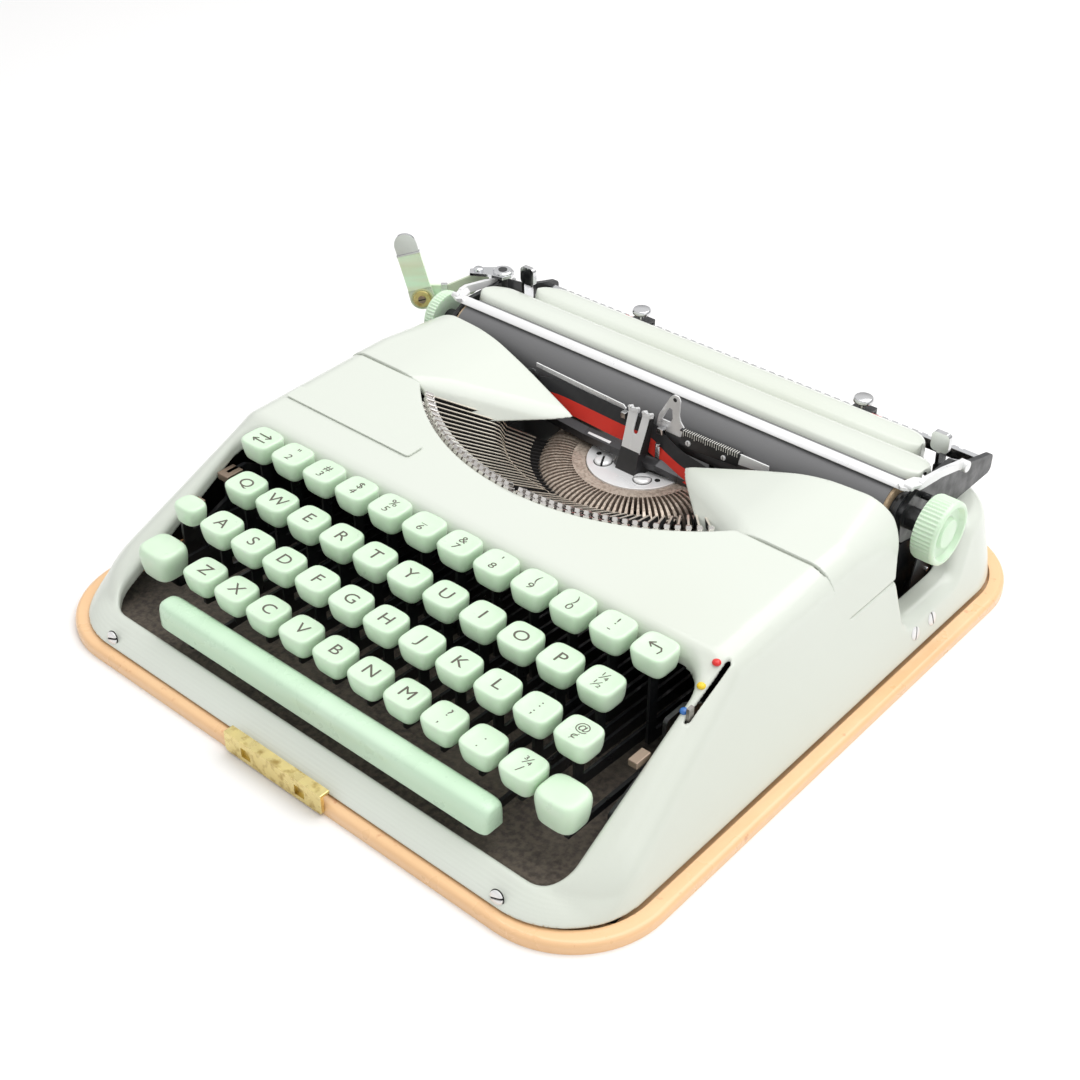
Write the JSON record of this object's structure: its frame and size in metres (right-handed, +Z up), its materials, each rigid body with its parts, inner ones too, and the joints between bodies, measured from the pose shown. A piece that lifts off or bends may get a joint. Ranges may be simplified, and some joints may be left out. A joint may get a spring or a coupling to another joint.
{
  "type": "portable typewriter",
  "caption": "Flat portable manual typewriter in a tan tray, with sage shell, mint keys, open type basket, sliding carriage, platen knobs and return lever.",
  "frame": {"origin": "centre of the tray's underside, on the surface it stands on", "axes": "+X to the typist's right along the platen, +Y away from the typist, +Z up"},
  "size_m": [0.3147, 0.3126, 0.0902],
  "materials": {
    "shell_paint": "gloss",
    "key_plastic": "gloss",
    "tray_paint": "satin",
    "brass": "satin",
    "felt": "matte",
    "dark_steel": "satin",
    "bright_steel": "polished",
    "steel": "satin",
    "segment_steel": "satin",
    "rubber": "matte",
    "core": "matte",
    "ribbon_cloth": "matte",
    "dots": "gloss"
  },
  "bodies": {
    "machine": {"base_tray": "tray_paint", "tray_latch": "brass", "body_shell": "shell_paint", "ribbon_cover": "shell_paint", "felt_mat": "felt", "side_frames": "dark_steel", "fulcrum_shaft": "steel", "type_segment": "segment_steel", "segment_plate": "bright_steel", "typebars": "segment_steel", "type_rest": "dark_steel", "type_guide": "bright_steel", "slotted_screws": "steel", "nameplate": "shell_paint", "selector_dots": "dots", "carriage_rail": "steel", "bell": "brass", "ribbon": "ribbon_cloth", "card_holder": "bright_steel"},
    "key_h": {"key_h_cap": "key_plastic", "key_h_lever": "dark_steel"},
    "typebar_h": {"typebar_h": "segment_steel"},
    "space_bar": {"space_bar": "key_plastic", "space_bar_arms": "dark_steel"},
    "shift_keys": {"shift_key_caps": "key_plastic", "shift_yoke": "dark_steel"},
    "shift_lock": {"shift_lock_key": "key_plastic"},
    "colour_selector": {"colour_selector": "steel"},
    "vibrator": {"ribbon_vibrator": "bright_steel"},
    "left_spool": {"left_ribbon_spool": "dark_steel"},
    "right_spool": {"right_ribbon_spool": "dark_steel"},
    "spring_drum": {"spring_drum": "steel"},
    "escape_wheel": {"escape_wheel": "steel"},
    "truck": {"carriage_truck": "steel"},
    "carriage": {"carriage_frame": "dark_steel", "paper_table": "shell_paint", "carriage_cover": "shell_paint", "margin_rack": "bright_steel"},
    "left_stop": {"left_margin_stop": "bright_steel"},
    "right_stop": {"right_margin_stop": "bright_steel"},
    "platen": {"platen_sleeve": "rubber", "platen_core": "core", "platen_shaft": "steel", "left_knob": "key_plastic", "right_knob": "key_plastic", "line_ratchet": "steel"},
    "feed_roller": {"feed_roller": "rubber"},
    "bail": {"paper_bail": "bright_steel"},
    "paper_release": {"paper_release_lever": "bright_steel"},
    "carriage_release": {"carriage_release_lever": "bright_steel"},
    "return_lever": {"return_lever": "bright_steel"},
    "finger": {"lever_finger": "bright_steel"},
    "number_row": {"number_row_caps": "key_plastic", "number_row_levers": "dark_steel"},
    "top_row": {"top_row_caps": "key_plastic", "top_row_levers": "dark_steel"},
    "home_row": {"home_row_caps": "key_plastic", "home_row_levers": "dark_steel"},
    "bottom_row": {"bottom_row_caps": "key_plastic", "bottom_row_levers": "dark_steel"}
  },
  "joints": [
    {"name": "number_row_press", "type": "hinge", "parent": "machine", "child": "number_row", "pos_m": [0, 0.025, 0.0165], "axis": [1, 0, 0], "range_deg": [0, 4.4], "stiffness_Nm_per_rad": 0.6, "springref_deg": -20.05},
    {"name": "top_row_press", "type": "hinge", "parent": "machine", "child": "top_row", "pos_m": [0, 0.025, 0.0165], "axis": [1, 0, 0], "range_deg": [0, 4.4], "stiffness_Nm_per_rad": 0.6, "springref_deg": -20.05},
    {"name": "home_row_press", "type": "hinge", "parent": "machine", "child": "home_row", "pos_m": [0, 0.025, 0.0165], "axis": [1, 0, 0], "range_deg": [0, 4.4], "stiffness_Nm_per_rad": 0.6, "springref_deg": -20.05},
    {"name": "bottom_row_press", "type": "hinge", "parent": "machine", "child": "bottom_row", "pos_m": [0, 0.025, 0.0165], "axis": [1, 0, 0], "range_deg": [0, 4.4], "stiffness_Nm_per_rad": 0.6, "springref_deg": -20.05},
    {"name": "key_h_press", "type": "hinge", "parent": "machine", "child": "key_h", "pos_m": [0, 0.025, 0.0165], "axis": [1, 0, 0], "range_deg": [0, 4.4], "stiffness_Nm_per_rad": 0.08, "springref_deg": -20.05},
    {"name": "typebar_h_swing", "type": "hinge", "parent": "machine", "child": "typebar_h", "pos_m": [0, 0.021, 0.034], "axis": [-1, 0, 0], "range_deg": [0, 118.01]},
    {"name": "vibrator_lift", "type": "slide", "parent": "machine", "child": "vibrator", "axis": [0, 0, 1], "range_m": [0, 0.005]},
    {"name": "space_bar_press", "type": "hinge", "parent": "machine", "child": "space_bar", "pos_m": [0, 0.025, 0.0165], "axis": [1, 0, 0], "range_deg": [0, 2], "stiffness_Nm_per_rad": 0.25, "springref_deg": -17.19},
    {"name": "shift_press", "type": "hinge", "parent": "machine", "child": "shift_keys", "pos_m": [0, 0.025, 0.0165], "axis": [1, 0, 0], "range_deg": [0, 3.6], "stiffness_Nm_per_rad": 4, "springref_deg": -25.78},
    {"name": "shift_lock_press", "type": "hinge", "parent": "machine", "child": "shift_lock", "pos_m": [-0.1145, -0.064, 0.0253], "axis": [1, 0, 0], "range_deg": [0, 8], "stiffness_Nm_per_rad": 0.02, "springref_deg": -17.19},
    {"name": "colour_select", "type": "slide", "parent": "machine", "child": "colour_selector", "axis": [0, 0.864, 0.5035], "range_m": [0, 0.021]},
    {"name": "left_spool_spin", "type": "hinge", "parent": "machine", "child": "left_spool", "pos_m": [-0.1, 0.038, 0.051], "axis": [0, 0, 1], "continuous": true},
    {"name": "right_spool_spin", "type": "hinge", "parent": "machine", "child": "right_spool", "pos_m": [0.1, 0.038, 0.051], "axis": [0, 0, 1], "continuous": true},
    {"name": "carriage_slide", "type": "slide", "parent": "machine", "child": "truck", "axis": [1, 0, 0], "range_m": [-0.1, 0.1]},
    {"name": "escape_wheel_spin", "type": "hinge", "parent": "machine", "child": "escape_wheel", "pos_m": [0, 0.12, 0.027], "axis": [0, 0, 1], "continuous": true},
    {"name": "spring_drum_spin", "type": "hinge", "parent": "machine", "child": "spring_drum", "pos_m": [-0.04, 0.128, 0.0165], "axis": [0, 0, 1], "continuous": true},
    {"name": "carriage_lift", "type": "slide", "parent": "truck", "child": "carriage", "axis": [0, 0, 1], "range_m": [0, 0.00602]},
    {"name": "platen_spin", "type": "hinge", "parent": "carriage", "child": "platen", "pos_m": [0, 0.0805, 0.054], "axis": [1, 0, 0], "continuous": true},
    {"name": "feed_roller_spin", "type": "hinge", "parent": "carriage", "child": "feed_roller", "pos_m": [0, 0.09559, 0.04696], "axis": [1, 0, 0], "continuous": true},
    {"name": "paper_bail_lift", "type": "hinge", "parent": "carriage", "child": "bail", "pos_m": [0, 0.089, 0.0605], "axis": [-1, 0, 0], "range_deg": [0, 50]},
    {"name": "paper_release_pull", "type": "hinge", "parent": "carriage", "child": "paper_release", "pos_m": [0.1155, 0.119, 0.051], "axis": [-1, 0, 0], "range_deg": [0, 20], "stiffness_Nm_per_rad": 0.02, "springref_deg": -11.46},
    {"name": "carriage_release_pull", "type": "hinge", "parent": "carriage", "child": "carriage_release", "pos_m": [-0.1155, 0.119, 0.051], "axis": [-1, 0, 0], "range_deg": [0, 20], "stiffness_Nm_per_rad": 0.02, "springref_deg": -11.46},
    {"name": "return_lever_swing", "type": "hinge", "parent": "carriage", "child": "return_lever", "pos_m": [-0.123, 0.109, 0.071], "axis": [0, 0, 1], "range_deg": [0, 8], "stiffness_Nm_per_rad": 0.1, "springref_deg": -17.19},
    {"name": "finger_fold", "type": "hinge", "parent": "return_lever", "child": "finger", "pos_m": [-0.154, 0.084, 0.057], "axis": [0.6561, -0.7547, 0], "range_deg": [0, 22]},
    {"name": "left_margin_slide", "type": "slide", "parent": "carriage", "child": "left_stop", "axis": [1, 0, 0], "range_m": [-0.05, 0.05]},
    {"name": "right_margin_slide", "type": "slide", "parent": "carriage", "child": "right_stop", "axis": [1, 0, 0], "range_m": [-0.05, 0.05]}
  ],
  "couplings": [
    {"joint": "typebar_h_swing", "follows": "key_h_press", "ratio": 26.818},
    {"joint": "vibrator_lift", "follows": "key_h_press", "m_per_rad": 0.0651},
    {"joint": "right_spool_spin", "follows": "left_spool_spin", "ratio": 1},
    {"joint": "escape_wheel_spin", "follows": "carriage_slide", "rad_per_m": 250},
    {"joint": "spring_drum_spin", "follows": "carriage_slide", "rad_per_m": 71.4},
    {"joint": "carriage_lift", "follows": "shift_press", "m_per_rad": 0.0955},
    {"joint": "feed_roller_spin", "follows": "platen_spin", "ratio": -5.2692}
  ]
}
